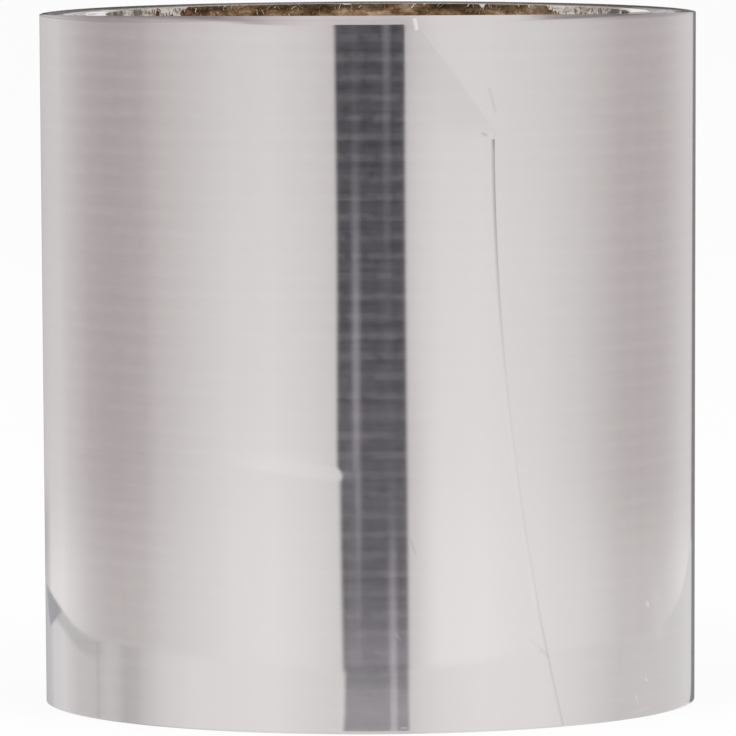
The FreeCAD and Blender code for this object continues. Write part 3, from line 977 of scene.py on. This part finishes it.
def paintedFloorReflectionFinish():
    material, tree = newMaterial("paintedFloorReflection")
    leaving, toEdge = addAttribute(tree, "leaving"), addAttribute(tree, "toEdge")
    at = addSplit(tree, addObjectPlace(tree))
    fromRoll = addMath(tree, "SUBTRACT", addFlatLength(tree, at["X"], at["Y"]), rollRadius)
    side = addStep(tree, addMath(tree, "ABSOLUTE", leaving), 70, 110)
    colour = addMix(tree, 1.0, addLinear(tree, leaving, paintedFloorReflection["glow"]),
                    addMix(tree, side, (1, 1, 1, 1), paintedFloorReflection["sideTint"]), "MULTIPLY")
    ring = paintedFloorReflection["ring"]
    inGap = addProduct(tree, addBetween(tree, leaving, *paintedFloorReflection["gapSides"]),
                       addStep(tree, fromRoll, ring * 0.8, ring * 1.2))
    fromFold = addAway(tree, leaving, paintedFloorReflection["foldAt"])
    dark = addMath(tree, "MULTIPLY_ADD", addStep(tree, fromFold, 1.9, 0.4), paintedFloorReflection["foldGlow"],
                   addLinear(tree, fromRoll, paintedFloorReflection["gapGlow"]))
    colour = addMix(tree, inGap, colour, addMix(tree, 1.0, dark, paintedFloorReflection["gapTint"], "MULTIPLY"))
    # painted shade on the far strip behind the left side
    farShadeMask = addProduct(tree, addStep(tree, toEdge, 0.035, 0.02), addBetween(tree, leaving, *paintedFloorReflection["farSides"]),
                        addLinear(tree, leaving, paintedFloorReflection["farShade"]))
    colour = addMix(tree, farShadeMask, colour, (0, 0, 0, 1))
    # painted shadow behind the left side
    inCorner = addProduct(tree, addStep(tree, at["Y"], 0.094, 0.099), addStep(tree, at["X"], -0.085, -0.092))
    return glowOnly(material, addMix(tree, inCorner, colour, paintedFloorReflection["cornerShade"]))


floorReflectionPiece = newPiece("paintedFloorReflection", paintedFloorReflectionMesh())
floorReflectionPiece.data.materials.append(paintedFloorReflectionFinish())
showInFilmOnly(floorReflectionPiece)


def floorFinish():
    material, tree = newMaterial("whiteFloor")
    isSeen = addNode(tree, "ShaderNodeLightPath").outputs["Is Camera Ray"]
    paper = addNode(tree, "ShaderNodeBsdfDiffuse", {"Color": (0.9, 0.9, 0.9, 1)})
    glow = addNode(tree, "ShaderNodeEmission", {"Strength": 1.0})
    return addShader(material, "ShaderNodeMixShader", {
        0: addMath(tree, "MULTIPLY", isSeen, 0.9), 1: paper.outputs[0], 2: glow.outputs[0]})


floorCorners = [(-12, -12, 0), (12, -12, 0), (12, 12, 0), (-12, 12, 0)]
floor = newPiece("floor", newMesh("floor", floorCorners, [(0, 1, 2, 3)]))
floor.data.materials.append(floorFinish())
floor.visible_glossy = False        # the film shows the painted floor reflection and the tent instead

studioLight = {
    "sky": 0.75,                # and 1 where it is seen itself
    "lamps": {"keyLamp": ((-0.7, -0.9, 1.3), 8), "fillLamp": ((0.8, -0.8, 1.3), 6)},    # place and watts
    "lampSize": 0.9,
    "lampAim": (0, 0, 0.05),
}

studio = bpy.data.worlds.new("studio")
scene.world = studio
studio.use_nodes = True
skyTree = studio.node_tree
skyTree.nodes.clear()
rays = addNode(skyTree, "ShaderNodeLightPath").outputs
seen = addMath(skyTree, "MAXIMUM", addMath(skyTree, "MAXIMUM", rays["Is Camera Ray"], rays["Is Glossy Ray"]),
               rays["Is Transmission Ray"])
level = addMath(skyTree, "MULTIPLY_ADD", seen, 1 - studioLight["sky"], studioLight["sky"])
sky = addNode(skyTree, "ShaderNodeBackground", {"Color": (1, 1, 1, 1), "Strength": level})
addNode(skyTree, "ShaderNodeOutputWorld", {0: sky.outputs[0]})

for name, (place, power) in studioLight["lamps"].items():
    lampData = bpy.data.lights.new(name, "AREA")
    lampData.shape = "DISK"
    lampData.size = studioLight["lampSize"]
    lampData.energy = power
    lamp = newPiece(name, lampData)
    lamp.location = place
    lamp.rotation_euler = (Vector(studioLight["lampAim"]) - lamp.location).to_track_quat("-Z", "Y").to_euler()
    lamp.visible_glossy = False
print("stage set")


# Frame

for piece, node, finish in ((outerTurns, "film_winding", "clear_film"), (innerTurns, "film_winding", "clear_film"),
                            (coreTube, "core_tube", "paperboard"), (coreFibres, "core_tube", "paperboard")):
    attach(piece, "root")
    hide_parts(node)
